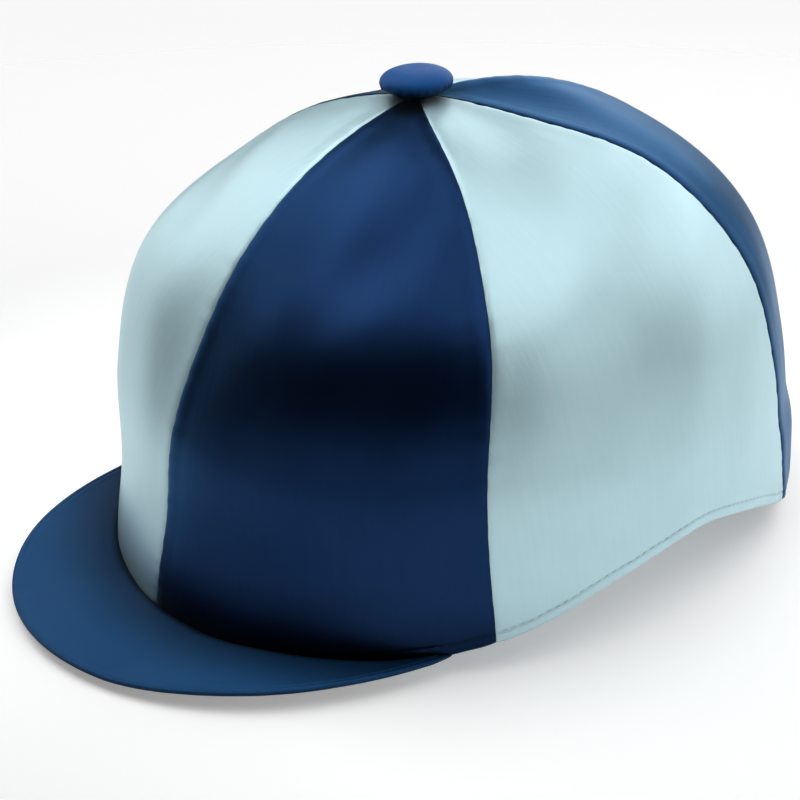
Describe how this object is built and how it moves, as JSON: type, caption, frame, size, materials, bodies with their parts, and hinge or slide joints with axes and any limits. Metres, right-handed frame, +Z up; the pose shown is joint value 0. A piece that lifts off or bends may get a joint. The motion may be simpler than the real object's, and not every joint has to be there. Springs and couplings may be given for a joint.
{
  "type": "jockey cap",
  "caption": "Domed cloth riding cap of alternating dark and pale gores round a covered button, with a short stiff peak.",
  "frame": {"origin": "middle of the cap's footprint, on the surface that its rim stands on", "axes": "+Z up, -Y towards the tip of the peak, +X towards the wearer's left"},
  "size_m": [0.2288, 0.3118, 0.1736],
  "materials": {
    "navy_cloth": "satin stretch knit",
    "pale_cloth": "satin stretch knit",
    "peak_cloth": "matt woven cover",
    "button_cloth": "matt woven cover"
  },
  "bodies": {
    "root": {"panel_front_left": "navy_cloth", "panel_front_right": "pale_cloth", "panel_side_left": "pale_cloth", "panel_side_right": "navy_cloth", "panel_rear_left": "navy_cloth", "panel_rear_right": "pale_cloth", "peak": "peak_cloth", "button": "button_cloth"}
  },
  "joints": []
}
